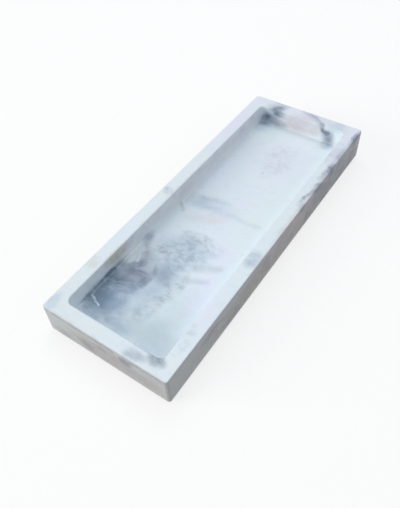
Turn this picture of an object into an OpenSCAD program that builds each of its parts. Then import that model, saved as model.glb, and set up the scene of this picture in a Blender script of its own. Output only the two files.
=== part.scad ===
// Shallow rectangular tea tray: one cast body with a coved recess, standing on four stick-on pads.
// The origin is the centre of the footprint, on the surface that the pads stand on.
// +Z is up, +X runs along the length, and -Y is the long side that faces the user.

/* [Body] */
// Overall length of the body
body_l = 300; // [220:5:400]
// Overall width of the body
body_w = 110; // [90:1:160]
// Thickness of the side walls, which is the width of the flat rim
wall_t = 12; // [8:0.5:18]
// Thickness of the slab under the recess
floor_t = 12; // [6:0.5:20]
// Depth of the recess, from the rim down to its floor
recess_depth = 17; // [8:0.5:30]

/* [Corners and edges] */
// Plan radius of the four outer corners
outer_corner_r = 3.5; // [3.5:0.5:12]
// Plan radius of the four corners of the recess
recess_corner_r = 5.5; // [5.5:0.5:14]
// Radius of the cove between the wall of the recess and its floor
cove_r = 2.5; // [1:0.25:4]
// Radius of the eased edges on both sides of the rim
rim_edge_r = 0.8; // [0.4:0.1:2]
// Radius that rounds the bottom edge of the body
base_edge_r = 1.5; // [0.5:0.25:3]

/* [Pads] */
// Diameter of each stick-on pad
pad_d = 14; // [8:1:22]
// Height of each pad, which lifts the body off the table
pad_h = 1.5; // [1:0.25:4]
// Radius that rounds the lower edge of each pad
pad_edge_r = 0.5; // [0.2:0.1:0.8]
// Distance from the end and side faces of the body to the pad's centre
pad_inset = 16; // [15:1:30]

/* [Hidden] */

$fn = 96;

// Height of the body, from its underside to the rim
body_h = floor_t + recess_depth;
// Plan size of the recess between its walls
recess_l = body_l - 2 * wall_t;
recess_w = body_w - 2 * wall_t;
// How far the recess's cutting shape rises past the rim
cut_rise = 2;
// Place of the pads' centres from the middle of the tray
pad_x = body_l / 2 - pad_inset;
pad_y = body_w / 2 - pad_inset;

// A slab with a round-cornered plan. Its edge profile is the child: a 2D shape whose x runs
// outward from the corner's axis to the side face, and whose y runs up from 0 to h.
module swept_slab(l, w, h, corner_r) {
    core_l = l - 2 * corner_r;
    core_w = w - 2 * corner_r;
    translate([-core_l / 2, -core_w / 2, 0])
        cube([core_l, core_w, h]);
    for (side = [0, 1]) {
        rotate([0, 0, 180 * side])
            translate([core_l / 2, core_w / 2, 0])
                rotate([90, 0, 0])
                    linear_extrude(core_w)
                        children();
        rotate([0, 0, 90 + 180 * side])
            translate([core_w / 2, core_l / 2, 0])
                rotate([90, 0, 0])
                    linear_extrude(core_l)
                        children();
    }
    for (sx = [-1, 1], sy = [-1, 1])
        translate([sx * core_l / 2, sy * core_w / 2, 0])
            rotate([0, 0, sx > 0 ? (sy > 0 ? 0 : -90) : (sy > 0 ? 90 : 180)])
                rotate_extrude(angle = 90)
                    children();
}

// The sliver that rounds off a square corner at the origin whose material lies towards -x, -y.
module corner_sliver(r) {
    difference() {
        translate([-r, -r])
            square(2 * r);
        translate([-r, -r])
            circle(r);
        translate([-2 * r, -2 * r])
            square([r, 4 * r]);
        translate([-2 * r, -2 * r])
            square([4 * r, r]);
    }
}

// Edge profile of the body: square side, rounded at the base and eased at the rim.
module body_profile() {
    difference() {
        square([outer_corner_r, body_h]);
        translate([outer_corner_r, body_h])
            corner_sliver(rim_edge_r);
        translate([outer_corner_r, 0])
            mirror([0, 1])
                corner_sliver(base_edge_r);
    }
}

// Edge profile of the recess, from its floor up: cove, wall, then the eased edge of the rim.
module recess_profile() {
    difference() {
        square([recess_corner_r, recess_depth + cut_rise]);
        translate([recess_corner_r, 0])
            mirror([0, 1])
                corner_sliver(cove_r);
    }
    translate([recess_corner_r, recess_depth - rim_edge_r])
        difference() {
            square([rim_edge_r, rim_edge_r + cut_rise]);
            translate([rim_edge_r, 0])
                circle(rim_edge_r);
        }
}

module tray_body() {
    color("aliceblue")
        translate([0, 0, pad_h])
            difference() {
                swept_slab(body_l, body_w, body_h, outer_corner_r)
                    body_profile();
                translate([0, 0, floor_t])
                    swept_slab(recess_l, recess_w, recess_depth + cut_rise, recess_corner_r)
                        recess_profile();
            }
}

// A stick-on pad: a flat disc with a rounded lower edge, stuck to the underside of the body.
module pad(sx, sy) {
    color("gainsboro")
        translate([sx * pad_x, sy * pad_y, 0])
            rotate_extrude()
                difference() {
                    square([pad_d / 2, pad_h]);
                    translate([pad_d / 2, 0])
                        mirror([0, 1])
                            corner_sliver(pad_edge_r);
                }
}

tray_body();
pad(-1, -1);  // pad_front_left
pad(1, -1);  // pad_front_right
pad(-1, 1);  // pad_back_left
pad(1, 1);  // pad_back_right
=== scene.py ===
"""A long shallow marbled tea tray on a pale table, in soft studio light."""

import math

import bmesh
import bpy
from mathutils import Matrix, Vector


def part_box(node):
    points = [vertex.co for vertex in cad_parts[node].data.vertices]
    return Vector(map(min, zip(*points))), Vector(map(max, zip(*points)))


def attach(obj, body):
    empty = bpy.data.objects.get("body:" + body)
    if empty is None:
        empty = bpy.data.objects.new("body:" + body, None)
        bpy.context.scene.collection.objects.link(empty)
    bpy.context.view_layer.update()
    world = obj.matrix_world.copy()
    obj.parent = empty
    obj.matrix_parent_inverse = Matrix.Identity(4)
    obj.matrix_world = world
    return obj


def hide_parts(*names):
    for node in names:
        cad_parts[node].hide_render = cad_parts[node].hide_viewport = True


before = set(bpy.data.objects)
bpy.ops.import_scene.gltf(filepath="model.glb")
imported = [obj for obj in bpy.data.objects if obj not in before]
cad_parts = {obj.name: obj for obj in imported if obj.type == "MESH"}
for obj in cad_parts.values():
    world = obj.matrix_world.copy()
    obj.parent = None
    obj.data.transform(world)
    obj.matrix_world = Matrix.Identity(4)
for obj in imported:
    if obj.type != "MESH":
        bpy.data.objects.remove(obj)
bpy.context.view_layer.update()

# Camera
# A hand-held camera about 30 cm above the rim, over the front left of the tray. It looks at a
# place on the level of the rim and is rolled a little.
camera_place = Vector((-0.25705, -0.16964, 0.33542))
camera_aim = Vector((-0.05104, -0.01284, 0.0305))
camera_roll = math.radians(-3.879)
camera_data = bpy.data.cameras.new("camera")
camera_data.lens = 37.856
camera_data.sensor_width = 36.0
camera = bpy.data.objects.new("camera", camera_data)
bpy.context.scene.collection.objects.link(camera)
bpy.context.scene.camera = camera
level_turn = (camera_aim - camera_place).to_track_quat("-Z", "Y").to_matrix()
camera.matrix_world = (
    Matrix.Translation(camera_place)
    @ level_turn.to_4x4()
    @ Matrix.Rotation(camera_roll, 4, "Z")
)

# Tray body
# One thick casting in marbled stone paste: a flat rim, upright walls and a level floor, with a
# cove where they meet. It is poured in a mould, then its rim and edges are eased by hand.
tray_low, tray_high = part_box("tray_body")
half_length = (tray_high.x - tray_low.x) / 2
half_width = (tray_high.y - tray_low.y) / 2
underside_z = tray_low.z
rim_z = tray_high.z
wall = 0.012
slab = 0.012
floor_z = underside_z + slab
outer_corner = 0.0024
recess_corner = 0.0055
base_edge = 0.0024
rim_edge = 0.0008
cove = 0.0013
side_top = rim_z - rim_edge

# The mesh is a stack of closed loops, from the underside up the sides, over the rim and down to
# the floor. These are its cells along the straights and round each corner, and its rows.
cell = 0.0016
cells_x = round(2 * (half_length - wall) / cell)
cells_y = round(2 * (half_width - wall) / cell)
corner_cells = 8
base_steps = 6
side_rows = 14
rim_edge_steps = 5
rim_rows = 7
wall_rows = 9
cove_steps = 7


def corner_point(centre, radius, side, share):
    """A point of a round corner; share 0 is square to the side, and 1 is 45 degrees further."""
    angle = math.radians(90 * side) + math.radians(45) * share
    return centre + radius * Vector((math.cos(angle), math.sin(angle), 0))


def outline(inset, z, corner):
    """A closed loop inset from the sides, from the middle of its front right corner and round."""
    reach_x = half_length - inset - corner
    reach_y = half_width - inset - corner
    centres = [
        Vector((reach_x, -reach_y, z)),
        Vector((reach_x, reach_y, z)),
        Vector((-reach_x, reach_y, z)),
        Vector((-reach_x, -reach_y, z)),
    ]
    half_arc = corner_cells // 2
    points = []
    for side, cells in enumerate((cells_y, cells_x, cells_y, cells_x)):
        here = centres[side]
        there = centres[(side + 1) % 4]
        points += [corner_point(here, corner, side, k / half_arc - 1) for k in range(half_arc)]
        first = corner_point(here, corner, side, 0)
        last = corner_point(there, corner, side, 0)
        points += [first.lerp(last, k / cells) for k in range(cells + 1)]
        points += [corner_point(there, corner, side, k / half_arc) for k in range(1, half_arc)]
    return points


def quarter(steps):
    """Pairs of sine and cosine that walk a quarter circle."""
    angles = [math.radians(90 * k / steps) for k in range(steps + 1)]
    return [(math.sin(angle), math.cos(angle)) for angle in angles]


loops = []
for sine, cosine in quarter(base_steps):
    inset = base_edge * (1 - sine)
    loops.append(outline(inset, underside_z + base_edge * (1 - cosine), outer_corner - inset))
side_base = underside_z + base_edge
for row in range(1, side_rows):
    z = side_base + (side_top - underside_z - base_edge) * row / side_rows
    loops.append(outline(0, z, outer_corner))
for sine, cosine in quarter(rim_edge_steps):
    inset = rim_edge * (1 - cosine)
    loops.append(outline(inset, side_top + rim_edge * sine, outer_corner - inset))
for row in range(1, rim_rows):
    share = row / rim_rows
    inset = rim_edge + (wall - 2 * rim_edge) * share
    corner = (outer_corner - rim_edge) * (1 - share) + (recess_corner + rim_edge) * share
    loops.append(outline(inset, rim_z, corner))
for sine, cosine in quarter(rim_edge_steps):
    spread = rim_edge * (1 - sine)
    loops.append(outline(wall - spread, side_top + rim_edge * cosine, recess_corner + spread))
for row in range(1, wall_rows):
    z = side_top - (side_top - floor_z - cove) * row / wall_rows
    loops.append(outline(wall, z, recess_corner))
for sine, cosine in quarter(cove_steps):
    spread = cove * (1 - cosine)
    loops.append(outline(wall + spread, floor_z + cove * (1 - sine), recess_corner - spread))

mesh_maker = bmesh.new()
rings = [[mesh_maker.verts.new(point) for point in loop] for loop in loops]
ring_size = len(rings[0])
for lower, upper in zip(rings, rings[1:]):
    for k in range(ring_size):
        n = (k + 1) % ring_size
        mesh_maker.faces.new((lower[k], lower[n], upper[n], upper[k]))


def fill(ring, upward):
    """Closes a loop with a sheet of cells whose corners are the middles of the round corners."""
    across = cells_y + corner_cells
    along = cells_x + corner_cells
    right = ring[:across + 1]
    top = ring[across:across + along + 1][::-1]
    left = ring[across + along:2 * across + along + 1][::-1]
    bottom = ring[2 * across + along:] + ring[:1]

    def inner_place(i, j):
        """Where a corner of the inner cells lies, drawn from the four edges of the sheet."""
        u = i / along
        v = j / across
        return (
            left[j].co * (1 - u) + right[j].co * u
            + bottom[i].co * (1 - v) + top[i].co * v
            - left[0].co * (1 - u) * (1 - v) - right[0].co * u * (1 - v)
            - left[across].co * (1 - u) * v - right[across].co * u * v
        )

    sheet = [left]
    for i in range(1, along):
        inner = [mesh_maker.verts.new(inner_place(i, j)) for j in range(1, across)]
        sheet.append([bottom[i]] + inner + [top[i]])
    sheet.append(right)
    for i in range(along):
        for j in range(across):
            face = (sheet[i][j], sheet[i + 1][j], sheet[i + 1][j + 1], sheet[i][j + 1])
            mesh_maker.faces.new(face if upward else face[::-1])


fill(rings[0], upward=False)
fill(rings[-1], upward=True)
mesh_maker.normal_update()
tray_mesh = bpy.data.meshes.new("marbled_tray")
mesh_maker.to_mesh(tray_mesh)
mesh_maker.free()
for polygon in tray_mesh.polygons:
    polygon.use_smooth = True
tray = bpy.data.objects.new("marbled_tray", tray_mesh)
bpy.context.scene.collection.objects.link(tray)


def node(tree, kind, inputs=None, **settings):
    """Adds a shader node; each input is given a value or the socket that feeds it."""
    made = tree.nodes.new(kind)
    for name, value in settings.items():
        setattr(made, name, value)
    for name, value in (inputs or {}).items():
        if isinstance(value, bpy.types.NodeSocket):
            tree.links.new(value, made.inputs[name])
        else:
            made.inputs[name].default_value = value
    return made


def blend(tree, share, first, second, mode="MIX"):
    """Mixes two colours by a share and gives the mixed colour."""
    inputs = {0: share, 6: first, 7: second}
    mixer = node(tree, "ShaderNodeMix", inputs, data_type="RGBA", blend_type=mode)
    return mixer.outputs[2]


def number(tree, operation, first, second, clamp=False):
    """One step of arithmetic, or a comparison, with two numbers."""
    inputs = {0: first, 1: second}
    return node(tree, "ShaderNodeMath", inputs, operation=operation, use_clamp=clamp).outputs[0]


def vector(tree, operation, first, second=None):
    """One step of vector arithmetic; lengths, distances and dot products come out as numbers."""
    inputs = {0: first}
    if second is not None:
        inputs["Scale" if operation == "SCALE" else 1] = second
    outputs = node(tree, "ShaderNodeVectorMath", inputs, operation=operation).outputs
    gives_number = operation in ("LENGTH", "DISTANCE", "DOT_PRODUCT")
    return outputs["Value" if gives_number else "Vector"]


def rise(tree, value, low, high, lowest=0.0, highest=1.0):
    """A soft step from the lowest to the highest share as the value goes from low to high."""
    inputs = {
        "Value": value, "From Min": low, "From Max": high, "To Min": lowest, "To Max": highest,
    }
    return node(tree, "ShaderNodeMapRange", inputs, interpolation_type="SMOOTHSTEP").outputs[0]


def noise(tree, point, scale, detail, roughness=0.5, distortion=0.0):
    """Cloudy noise over a place; gives the outputs Fac, a number, and Color."""
    inputs = {
        "Vector": point, "Scale": scale, "Detail": detail, "Roughness": roughness,
        "Distortion": distortion,
    }
    return node(tree, "ShaderNodeTexNoise", inputs).outputs


def shader_group(name, inputs, outputs):
    """A node group with named sockets; gives its tree, the sockets given to it and its output."""
    tree = bpy.data.node_groups.new(name, "ShaderNodeTree")
    for label, kind, value in inputs:
        socket = tree.interface.new_socket(label, in_out="INPUT", socket_type="NodeSocket" + kind)
        if value is not None:
            socket.default_value = value
    for label, kind in outputs:
        tree.interface.new_socket(label, in_out="OUTPUT", socket_type="NodeSocket" + kind)
    return tree, tree.nodes.new("NodeGroupInput").outputs, tree.nodes.new("NodeGroupOutput")


def place_group(tree, group, inputs):
    """Puts a node group into a tree and gives its outputs."""
    return node(tree, "ShaderNodeGroup", inputs, node_tree=group).outputs


# One soft cloud of pigment, added to the density so far.
pigment_cloud, given, result = shader_group(
    "pigment_cloud",
    [
        ("Point", "Vector", None),
        ("Density", "Float", 0.0),
        ("Centre", "Vector", None),
        ("Reach", "Vector", (0.01, 0.01, 0.01)),
        ("Turn", "Float", 0.0),
        ("Strength", "Float", 0.5),
        ("Core", "Float", 0.35),
    ],
    [("Density", "Float")],
)
turned = node(
    pigment_cloud, "ShaderNodeVectorRotate",
    {"Vector": given["Point"], "Center": given["Centre"], "Angle": given["Turn"]},
    rotation_type="Z_AXIS",
).outputs[0]
offset = vector(pigment_cloud, "SUBTRACT", turned, given["Centre"])
share = vector(pigment_cloud, "DIVIDE", offset, given["Reach"])
radius = vector(pigment_cloud, "LENGTH", share)
falloff = rise(pigment_cloud, radius, given["Core"], 1.0, given["Strength"], 0.0)
total = number(pigment_cloud, "ADD", falloff, given["Density"])
pigment_cloud.links.new(total, result.inputs["Density"])

# One vein of pigment between two places, added to the density so far.
pigment_vein, given, result = shader_group(
    "pigment_vein",
    [
        ("Point", "Vector", None),
        ("Density", "Float", 0.0),
        ("Start", "Vector", None),
        ("End", "Vector", None),
        ("Width", "Float", 0.002),
        ("Strength", "Float", 0.5),
    ],
    [("Density", "Float")],
)
along = vector(pigment_vein, "SUBTRACT", given["End"], given["Start"])
offset = vector(pigment_vein, "SUBTRACT", given["Point"], given["Start"])
run = vector(pigment_vein, "DOT_PRODUCT", offset, along)
whole = vector(pigment_vein, "DOT_PRODUCT", along, along)
reach = number(pigment_vein, "DIVIDE", run, whole, clamp=True)
nearest = vector(pigment_vein, "SCALE", along, reach)
gap = vector(pigment_vein, "DISTANCE", offset, nearest)
falloff = rise(pigment_vein, gap, 0.0, given["Width"], given["Strength"], 0.0)
total = number(pigment_vein, "ADD", falloff, given["Density"])
pigment_vein.links.new(total, result.inputs["Density"])

# The skin of any cast or moulded piece: fine grain, a few pinholes and an uneven sheen.
cast_skin, given, result = shader_group(
    "cast_skin",
    [
        ("Point", "Vector", None),
        ("Grain Scale", "Float", 900.0),
        ("Pinhole Scale", "Float", 260.0),
        ("Pinhole Size", "Float", 0.12),
        ("Base Roughness", "Float", 0.3),
        ("Roughness Spread", "Float", 0.1),
    ],
    [("Height", "Float"), ("Roughness", "Float"), ("Grain", "Float")],
)
grain_height = 0.35
cells_without_pinhole = 0.86
rubbed_scale = 22.0
grain = noise(cast_skin, given["Point"], given["Grain Scale"], 3.0)["Fac"]
cells = node(
    cast_skin, "ShaderNodeTexVoronoi", {"Vector": given["Point"], "Scale": given["Pinhole Scale"]}
).outputs
holes = rise(cast_skin, cells["Distance"], 0.0, given["Pinhole Size"], -1.0, 0.0)
picked = node(cast_skin, "ShaderNodeSeparateColor", {0: cells["Color"]}).outputs[0]
few = number(cast_skin, "GREATER_THAN", picked, cells_without_pinhole)
pinholes = number(cast_skin, "MULTIPLY", holes, few)
height = number(
    cast_skin, "ADD", number(cast_skin, "MULTIPLY", grain, grain_height), pinholes
)
cast_skin.links.new(height, result.inputs["Height"])
rubbed = noise(cast_skin, given["Point"], rubbed_scale, 5.0)["Fac"]
spread = number(
    cast_skin, "MULTIPLY", number(cast_skin, "SUBTRACT", rubbed, 0.5), given["Roughness Spread"]
)
sheen = number(cast_skin, "ADD", given["Base Roughness"], spread)
cast_skin.links.new(sheen, result.inputs["Roughness"])
cast_skin.links.new(grain, result.inputs["Grain"])

# Where the pigments went, listed in millimetres from the middle of the underside. A cloud is
# a centre, a reach each way, a turn in degrees and a strength; a vein is two ends, a width and a
# strength. Left and right are the ends of the tray; the front is its long side near the camera.
ink_clouds = [
    # The pool on the floor at the back left, and the foot of the wall behind it
    ((-108, 36, 14), (28, 14, 9), 0, 0.6),
    ((-85, 37, 14), (22, 11, 8), 0, 0.5),
    ((-128, 28, 14), (14, 15, 8), 0, 0.3),
    ((-83, 17, 13), (18, 5, 7), 6, 0.45),
    ((-91, 43.5, 15), (23, 2.5, 5), 0, 0.45),
    ((-120, 43.5, 15), (8, 2.5, 4), 0, 0.5),
    # The floor in the back right corner
    ((131, 39, 12), (6, 5, 5), 0, 0.15),
    # The front side, under the rim
    ((84, -55, 27), (10, 5, 6), 0, 0.7),
    ((134, -55, 28), (18, 5, 6), 0, 0.6),
    ((33, -55, 28), (8, 5, 5), 0, 0.45),
]
ink_veins_and_edge_shade = [
    # From the floor at the back right up the end wall and over the rim
    ((138, 36, 19), (135, 41, 12), 9, 0.35),
    ((139, 27, 30), (138, 37, 19), 12, 0.55),
    ((138, 21, 27), (138, 28, 24), 6, 0.5),
    ((138, 27, 30), (149, 22, 31), 7, 0.45),
    # The floor by the back wall, half way along
    ((0, 43, 13), (-6, 36, 13), 3.6, 0.25),
    # The front rim
    ((33, -50, 31), (44, -50.5, 31), 3, 0.3),
    ((43, -50.5, 31), (57, -55, 31), 3, 0.55),
    # A dark line on the left rim along the edge of the recess: painted shade where the rim turns
    # down into it
    ((-138, -20, 31), (-138, -40, 30), 2.4, 0.5),
]
plum_clouds = [
    # The front of the pool, and the haze that leaves it
    ((-82, 25, 13), (26, 14, 8), 6, 0.85),
    ((-72, 10, 13), (13, 15, 7), -20, 0.4),
    # The right end wall and the floor at its foot
    ((138, 24, 17), (5, 13, 6), 0, 0.4),
    ((138, -28, 21), (5, 9, 10), 0, 0.4),
    ((134, -29, 14), (9, 9, 7), 0, 0.25),
    # The left rim near the front corner
    ((-144, -25, 31), (5, 10, 5), 10, 0.28),
    ((-140, -40, 31), (7, 10, 5), 0, 0.65),
    # The left end
    ((-150, -20, 24), (5, 8, 6), 0, 0.7),
    ((-150, 1, 21), (5, 6, 5), 0, 0.35),
    ((-150, 17, 12), (5, 10, 9), 0, 0.45),
    ((-150, 40, 8), (5, 14, 7), 0, 0.35),
    # The front side, darker towards the right end
    ((-100, -55, 22), (18, 5, 5), 0, 0.5),
    ((-70, -55, 8), (24, 5, 8), 0, 0.35),
    ((-25, -55, 18), (10, 5, 14), 0, 0.4),
    ((16, -55, 12), (7, 5, 7), 0, 0.45),
    ((43, -55, 10), (7, 5, 10), 0, 0.55),
    ((62, -55, 27), (10, 5, 6), 0, 0.6),
    ((72, -55, 17), (10, 5, 14), 0, 0.6),
    ((80, -55, 8), (10, 5, 8), 0, 0.8),
    ((100, -55, 10), (18, 5, 9), 0, 0.5),
    ((135, -55, 10), (16, 5, 10), 0, 0.55),
    ((100, -55, 15), (76, 7, 28), 0, 0.95),
    # The right end and the back side
    ((150, -20, 15), (5, 26, 12), 0, 0.4),
    ((150, 30, 26), (6, 14, 7), 0, 0.55),
    ((60, 55, 12), (30, 5, 12), 0, 0.35),
    ((-70, 55, 20), (24, 5, 12), 0, 0.4),
]
plum_veins = [
    # From the pool along the back wall
    ((-78, 28, 13), (-60, 33, 13), 10, 0.4),
    ((-60, 33, 13), (-48, 41, 13), 7, 0.35),
    # Streaks that run forward from the mottled smoke
    ((-66, -8, 13), (-60, -24, 13), 5, 0.22),
    ((-53, -10, 13), (-45, -26, 13), 6, 0.3),
    # The jagged vein over the right rim and down the end wall
    ((149, -3, 31), (139, -22, 31), 3, 0.4),
    ((138, -20, 30), (138, -22, 25), 4.5, 0.5),
    ((138, -22, 25), (138, -27, 23.5), 4, 0.55),
    ((138, -28, 21), (138, -32, 16), 8, 0.28),
    # The left rim and, under it, the left end
    ((-147, -20, 31), (-140, -44, 31), 5, 0.4),
    ((-150, 45, 29), (-150, -10, 28), 3, 0.5),
    ((-150, -24, 28), (-150, -52, 28), 3, 0.4),
    # The front rim and side
    ((70, -50, 31), (92, -54, 31), 3, 0.3),
    ((60, -55, 30), (84, -55, 3), 7, 0.5),
    # The back side and the underside
    ((-20, 55, 22), (40, 55, 6), 5, 0.5),
    ((-140, -30, 0), (-40, 20, 0), 6, 0.4),
    ((20, 30, 0), (110, -20, 0), 7, 0.45),
]
fleck_clouds = [
    # The mottled smoke on the left half of the floor
    ((-49, 8, 13), (15, 28, 6), 0, 0.75),
    ((-32, 4, 13), (14, 27, 6), 0, 0.65),
    ((-55, 24, 13), (10, 12, 6), 0, 0.35),
    ((-66, 4, 13), (14, 18, 6), 0, 0.4),
    ((-74, 8, 13), (12, 10, 6), 0, 0.5),
    ((-80, -5, 13), (20, 10, 6), 10, 0.7),
    ((-104, -1, 13), (22, 10, 6), 10, 0.5),
    ((-118, 18, 13), (20, 12, 6), 0, 0.5),
    # Faint flecks and one speck on the right half
    ((92, -2, 13), (32, 20, 6), 0, 0.26),
    ((69, 2, 13), (2.6, 2.6, 4), 0, 0.9),
    # The rim: front, back and left
    ((-118, -47, 31), (18, 6, 4), 0, 0.25),
    ((-34, -48, 31), (12, 8, 5), 0, 0.4),
    ((110, -46, 31), (26, 8, 4), 0, 0.3),
    ((-7, 49, 31), (5, 9, 5), 15, 0.4),
    ((-145, -30, 31), (6, 20, 5), 0, 0.3),
    # All four sides
    ((0, -55, 15), (160, 4, 16), 0, 0.4),
    ((0, 55, 15), (160, 4, 16), 0, 0.3),
    ((-150, 0, 15), (4, 60, 16), 0, 0.3),
    ((150, 0, 15), (4, 60, 16), 0, 0.3),
]
blue_clouds = [
    # The pool and the smoke round it
    ((-104, 30, 13), (36, 20, 8), 5, 0.85),
    ((-92, 10, 13), (42, 18, 8), 15, 0.5),
    ((-128, 16, 13), (16, 26, 8), 0, 0.5),
    ((-66, 14, 13), (16, 22, 7), 0, 0.4),
    ((-46, 9, 13), (24, 32, 6), 0, 0.55),
    ((-46, 41, 13), (10, 5, 5), 0, 0.4),
    # The band across the middle of the floor
    ((10, 32, 13), (12, 16, 6), 0, 0.26),
    ((12, 14, 13), (14, 30, 6), 0, 0.22),
    # The floor in the back right corner
    ((128, 36, 12), (14, 12, 5), 0, 0.35),
    # The rim
    ((-142, 50, 31), (12, 7, 5), 0, 0.35),
    ((-34, -48, 31), (12, 9, 5), 0, 0.4),
    ((-7, 49, 31), (7, 9, 5), 15, 0.2),
    ((135, -35, 31), (24, 14, 5), 0, 0.3),
]
blue_veins = [
    # The edges of the band across the floor
    ((8, 20, 13), (9, -28, 13), 5, 0.2),
    ((17, 30, 13), (19, 5, 13), 4, 0.22),
    # The right rim, beside the jagged vein
    ((149, 3, 31), (139, -20, 31), 4, 0.5),
]
green_clouds = [
    # The front left of the floor
    ((-98, -8, 13), (46, 36, 7), 0, 0.55),
    ((-120, -22, 13), (22, 18, 7), 0, 0.3),
]
lilac_clouds = [
    # The floor, from left to right
    ((-72, -26, 13), (38, 14, 6), 6, 0.6),
    ((-30, -18, 13), (18, 16, 6), 0, 0.5),
    ((30, 5, 13), (20, 26, 6), 0, 0.35),
    ((90, -5, 13), (55, 34, 6), 0, 0.5),
    # The rim round the right end
    ((100, 50, 31), (60, 10, 6), 0, 0.6),
    ((120, -50, 31), (44, 10, 6), 0, 0.6),
    ((145, 0, 31), (8, 60, 6), 0, 0.6),
]
ochre_clouds = [
    # The back wall over the pool, and the rim above it
    ((-84, 43, 26), (19, 3, 9), 0, 0.8),
    ((-100, 50, 31), (10, 8, 5), 0, 0.3),
    # A faint streak on the floor
    ((-6, 14, 13), (8, 24, 6), -20, 0.22),
    # The sides
    ((-150, -42, 12), (5, 16, 14), 0, 0.3),
    ((-60, -55, 12), (70, 5, 14), 0, 0.35),
    ((60, -55, 10), (40, 5, 10), 0, 0.3),
    ((110, 55, 15), (24, 5, 12), 0, 0.25),
]
rose_clouds_and_painted_warmth = [
    # The right end wall, the rim over it and the back wall
    ((138, 0, 24), (5, 34, 14), 0, 0.75),
    ((144, -12, 31), (8, 22, 4), 0, 0.3),
    ((110, 43, 22), (34, 4, 10), 0, 0.4),
    # This rose over the whole back wall is painted light: a warm, darker tint standing in for the
    # warmer light on that wall.
    ((0, 43.5, 24), (150, 2.5, 12), 0, 0.5),
    # The left end and the front side
    ((-150, -4, 14), (5, 44, 16), 0, 0.7),
    ((30, -55, 15), (140, 6, 26), 0, 1.0),
]
white_clouds = [
    # Patches of clean paste by the back wall
    ((-72, 39, 13), (7, 4, 4), 0, 0.7),
    ((-42, 37, 13), (4, 5, 4), 0, 0.5),
]
white_streaks = [
    # A thin white streak across the pool, and a wisp between it and the smoke
    ((-116, 42, 13), (-121, 32, 13), 1.5, 0.8),
    ((-72, 34, 13), (-58, 38, 13), 2.5, 0.55),
]

marble = bpy.data.materials.new("marbled_casting")
marble.use_nodes = True
tree = marble.node_tree
marble_shader = tree.nodes["Principled BSDF"]
place = node(tree, "ShaderNodeTexCoord").outputs["Object"]

# The paste drifts while it is poured, first broadly and then finely, and takes the pigments along.
drifted = place
for push, scale, detail in ((0.005, 35.0, 2.0), (0.0035, 190.0, 4.0)):
    swirl = noise(tree, drifted, scale, detail)["Color"]
    centred = vector(tree, "SUBTRACT", swirl, (0.5, 0.5, 0.5))
    drifted = vector(tree, "ADD", drifted, vector(tree, "SCALE", centred, push))


def metres(place_in_mm):
    """A place in millimetres, turned into the metres of the scene."""
    return tuple(value / 1000 for value in place_in_mm)


def pigment(clouds, veins):
    """The density of one pigment, from its clouds and veins."""
    density = 0.0
    for centre, reach, turn, strength in clouds:
        density = place_group(
            tree, pigment_cloud,
            {
                "Point": drifted, "Density": density, "Centre": metres(centre),
                "Reach": metres(reach), "Turn": math.radians(turn), "Strength": strength,
            },
        )["Density"]
    for start, end, width, strength in veins:
        density = place_group(
            tree, pigment_vein,
            {
                "Point": drifted, "Density": density, "Start": metres(start),
                "End": metres(end), "Width": width / 1000, "Strength": strength,
            },
        )["Density"]
    return density


# Smoke breaks most pigments up softly, and flecks break up the mottled one; both run a little
# longer across the tray than along it.
streaked = node(
    tree, "ShaderNodeMapping", {"Vector": drifted, "Rotation": (0, 0, 0.35), "Scale": (1, 0.6, 1)}
).outputs[0]
smoke = noise(tree, streaked, 75.0, 7.0, 0.6, 0.6)["Fac"]
flecks = noise(tree, streaked, 210.0, 4.0, 0.6, 0.3)["Fac"]
smoky = rise(tree, smoke, 0.33, 0.66, 0.5, 1.15)
flecked = rise(tree, flecks, 0.38, 0.66, 0.2, 1.0)

# The paste itself is a pale blue-white that turns slowly greener and more lilac.
pale_blue = (0.77, 0.86, 0.92, 1)
pale_green = (0.79, 0.87, 0.9, 1)
pale_lilac = (0.79, 0.83, 0.92, 1)
slate_speck = (0.42, 0.48, 0.58, 1)
slow = noise(tree, drifted, 14.0, 2.0)["Color"]
slow_parts = node(tree, "ShaderNodeSeparateColor", {0: slow}).outputs
paste = blend(tree, rise(tree, slow_parts[0], 0.4, 0.62), pale_blue, pale_green)
paste = blend(tree, rise(tree, slow_parts[1], 0.5, 0.68), paste, pale_lilac)
faint = number(tree, "MULTIPLY", rise(tree, flecks, 0.52, 0.72), 0.12)
paste = blend(tree, faint, paste, slate_speck)

# The pigments lie over it in this order, roughly from pale to dark, with white on top; the ink
# holds a painted shade line and the rose a painted warm tint.
for clouds, veins, share, colour in (
    (lilac_clouds, [], smoky, (0.82, 0.81, 0.96, 1)),
    (green_clouds, [], smoky, (0.6, 0.72, 0.76, 1)),
    (rose_clouds_and_painted_warmth, [], smoky, (0.64, 0.58, 0.63, 1)),
    (ochre_clouds, [], smoky, (0.56, 0.53, 0.4, 1)),
    (blue_clouds, blue_veins, smoky, (0.33, 0.46, 0.6, 1)),
    (plum_clouds, plum_veins, smoky, (0.21, 0.25, 0.34, 1)),
    (fleck_clouds, [], flecked, (0.33, 0.4, 0.48, 1)),
    (ink_clouds, ink_veins_and_edge_shade, smoky, (0.1, 0.16, 0.25, 1)),
    (white_clouds, white_streaks, smoky, (0.82, 0.9, 0.94, 1)),
):
    strength = number(tree, "MULTIPLY", pigment(clouds, veins), share, clamp=True)
    paste = blend(tree, strength, paste, colour)

# The outer sides are multiplied darker and a little browner than the rim and the recess: painted
# shade, for the dimmer light that falls on them.
side_shade_tint = (0.77, 0.745, 0.72, 1)
tint_starts = 0.0009
tint_full = 0.0002
from_middle = node(tree, "ShaderNodeSeparateXYZ", {0: vector(tree, "ABSOLUTE", place)}).outputs
outer_side = number(
    tree, "MAXIMUM",
    rise(tree, from_middle["Y"], half_width - tint_starts, half_width - tint_full),
    rise(tree, from_middle["X"], half_length - tint_starts, half_length - tint_full),
)
painted_side_shade = blend(tree, 1.0, paste, side_shade_tint, "MULTIPLY")
paste = blend(tree, outer_side, paste, painted_side_shade)

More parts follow.
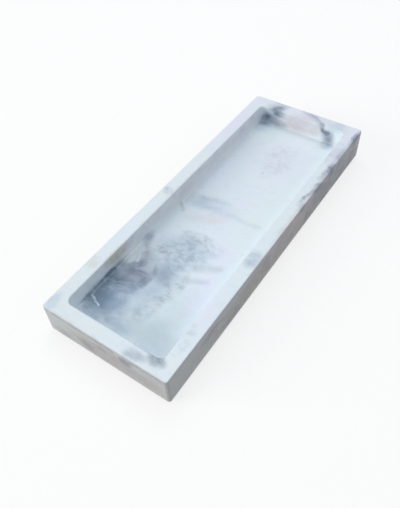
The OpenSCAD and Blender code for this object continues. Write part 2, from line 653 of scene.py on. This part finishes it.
# The skin is fine-grained and softly polished.
grain_tint = (0.5, 0.55, 0.6, 1)
grain_share = 0.06
skin = place_group(tree, cast_skin, {"Point": place, "Base Roughness": 0.3})
paste = blend(tree, number(tree, "MULTIPLY", skin["Grain"], grain_share), paste, grain_tint)
relief = node(
    tree, "ShaderNodeBump", {"Height": skin["Height"], "Strength": 0.25, "Distance": 0.00012}
).outputs[0]
marble_shader.inputs["Specular IOR Level"].default_value = 0.38
tree.links.new(paste, marble_shader.inputs["Base Color"])
tree.links.new(skin["Roughness"], marble_shader.inputs["Roughness"])
tree.links.new(relief, marble_shader.inputs["Normal"])
tray_mesh.materials.append(marble)
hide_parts("tray_body")
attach(tray, "root")

# Corner pads
# Four small silicone bumpers, moulded with a round edge, stuck under the corners so that the
# casting doesn't scratch the table. Milky, a little grippy, and never seen from above.
milk_thin = (0.66, 0.68, 0.68, 1)
milk_thick = (0.76, 0.78, 0.77, 1)
silicone = bpy.data.materials.new("milky_silicone")
silicone.use_nodes = True
tree = silicone.node_tree
silicone_shader = tree.nodes["Principled BSDF"]
place = node(tree, "ShaderNodeTexCoord").outputs["Object"]
skin = place_group(
    tree, cast_skin,
    {"Point": place, "Base Roughness": 0.45, "Grain Scale": 1500.0, "Pinhole Size": 0.05},
)
relief = node(
    tree, "ShaderNodeBump", {"Height": skin["Height"], "Strength": 0.2, "Distance": 0.0001}
).outputs[0]
milk = blend(tree, skin["Grain"], milk_thin, milk_thick)
tree.links.new(milk, silicone_shader.inputs["Base Color"])
tree.links.new(skin["Roughness"], silicone_shader.inputs["Roughness"])
tree.links.new(relief, silicone_shader.inputs["Normal"])
silicone_shader.inputs["Subsurface Weight"].default_value = 0.25
silicone_shader.inputs["Subsurface Scale"].default_value = 0.002
pad_edge = 0.0005
pad_edge_steps = 6
pad_dish = 0.00015
pad_sides = 64

# Rings of a pad's flat faces, as shares of its radius
dish_ring = 0.35
dish_foot = 0.6
dish_lip = 0.72
top_ring = 0.5


def lathe_pad(name, low, high):
    """A round pad between two corners of its box, a little dished where it meets the table."""
    middle = (low + high) / 2
    radius = (high.x - low.x) / 2
    flat = radius - pad_edge
    dish_z = low.z + pad_dish
    profile = [
        (dish_ring * radius, dish_z),
        (dish_foot * radius, dish_z),
        (dish_lip * radius, low.z),
    ]
    for sine, cosine in quarter(pad_edge_steps):
        profile.append((flat + pad_edge * sine, low.z + pad_edge * (1 - cosine)))
    profile += [(radius, high.z), (top_ring * radius, high.z)]
    around = [math.tau * k / pad_sides for k in range(pad_sides)]
    maker = bmesh.new()
    turns = []
    for distance, z in profile:
        turns.append([
            maker.verts.new((
                middle.x + distance * math.cos(angle),
                middle.y + distance * math.sin(angle),
                z,
            ))
            for angle in around
        ])
    for inner, outer in zip(turns, turns[1:]):
        for k in range(pad_sides):
            n = (k + 1) % pad_sides
            maker.faces.new((inner[k], inner[n], outer[n], outer[k]))
    for ring, z in ((turns[0], dish_z), (turns[-1], high.z)):
        hub = maker.verts.new((middle.x, middle.y, z))
        for k in range(pad_sides):
            maker.faces.new((ring[k], ring[(k + 1) % pad_sides], hub))
    bmesh.ops.recalc_face_normals(maker, faces=maker.faces)
    pad_mesh = bpy.data.meshes.new(name)
    maker.to_mesh(pad_mesh)
    maker.free()
    for polygon in pad_mesh.polygons:
        polygon.use_smooth = True
    pad_mesh.materials.append(silicone)
    pad = bpy.data.objects.new(name, pad_mesh)
    bpy.context.scene.collection.objects.link(pad)
    return pad


for end in ("front", "back"):
    for side in ("left", "right"):
        node_name = f"pad_{end}_{side}"
        pad = lathe_pad(f"silicone_{node_name}", *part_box(node_name))
        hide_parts(node_name)
        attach(pad, "root")

# Table and backdrop
# A plain pale table in a white studio. The camera, gloss and glass see it as white with the
# tray's shadow; the light that it bounces back is that of a darker top. From beneath it is
# clear, so that the tray's underside can be looked at.
table_reach = 4.0
shadow_share = 0.22
bounce_colour = (0.16, 0.155, 0.15, 1)
table_data = bpy.data.meshes.new("table")
table_data.from_pydata(
    [
        (-table_reach, -table_reach, 0),
        (table_reach, -table_reach, 0),
        (table_reach, table_reach, 0),
        (-table_reach, table_reach, 0),
    ],
    [],
    [(0, 1, 2, 3)],
)
table = bpy.data.objects.new("table", table_data)
bpy.context.scene.collection.objects.link(table)


def seen_directly(tree):
    """1 for camera, glossy and transmission rays, 0 for the light that bounces."""
    paths = node(tree, "ShaderNodeLightPath").outputs
    seen = number(tree, "MAXIMUM", paths["Is Camera Ray"], paths["Is Glossy Ray"])
    return number(tree, "MAXIMUM", seen, paths["Is Transmission Ray"])


def choose(tree, share, first, second):
    """Mixes two surfaces, or two backgrounds, by a share."""
    return node(tree, "ShaderNodeMixShader", {0: share, 1: first, 2: second}).outputs[0]


table_paint = bpy.data.materials.new("pale_table")
table_paint.use_nodes = True
tree = table_paint.node_tree
tree.nodes.clear()
white = node(tree, "ShaderNodeEmission", {"Color": (1, 1, 1, 1), "Strength": 1.0}).outputs[0]
shaded = node(tree, "ShaderNodeBsdfDiffuse", {"Color": (1, 1, 1, 1)}).outputs[0]
bounce = node(tree, "ShaderNodeBsdfDiffuse", {"Color": bounce_colour}).outputs[0]
clear = node(tree, "ShaderNodeBsdfTransparent").outputs[0]
beneath = node(tree, "ShaderNodeNewGeometry").outputs["Backfacing"]
above = choose(tree, seen_directly(tree), bounce, choose(tree, shadow_share, white, shaded))
node(tree, "ShaderNodeOutputMaterial", {"Surface": choose(tree, beneath, above, clear)})
table_data.materials.append(table_paint)

world = bpy.data.worlds.new("studio")
bpy.context.scene.world = world
world.use_nodes = True
tree = world.node_tree
tree.nodes.clear()
ambient = node(tree, "ShaderNodeBackground", {"Color": (0.95, 0.98, 1, 1), "Strength": 0.31})
white = node(tree, "ShaderNodeBackground", {"Color": (1, 1, 1, 1), "Strength": 1.0})
backdrop = choose(tree, seen_directly(tree), ambient.outputs[0], white.outputs[0])
node(tree, "ShaderNodeOutputWorld", {"Surface": backdrop})

# Lamps
# A cool overhead softbox, a warmer window from the back left that gives most of the light, and a
# weak fill from the front for the wall that faces the camera.


def softbox(name, place, size, watts, colour):
    """A soft rectangular lamp that faces the tray."""
    data = bpy.data.lights.new(name, "AREA")
    data.shape = "RECTANGLE"
    data.size, data.size_y = size
    data.energy = watts
    data.color = colour
    lamp = bpy.data.objects.new(name, data)
    bpy.context.scene.collection.objects.link(lamp)
    lamp.location = place
    lamp.rotation_mode = "QUATERNION"
    lamp.rotation_quaternion = (-Vector(place)).to_track_quat("-Z", "Y")


softbox("overhead", (0.5, 0.3, 1.5), (1.2, 1.2), 11.0, (0.86, 0.93, 1.0))
softbox("window", (-1.7, 1.35, 0.85), (1.6, 1.0), 34.0, (1.0, 0.965, 0.93))
softbox("front fill", (0.1, -1.6, 1.1), (1.2, 0.8), 4.6, (0.97, 0.97, 1.0))

bpy.context.scene.view_settings.view_transform = "Standard"
bpy.context.view_layer.update()
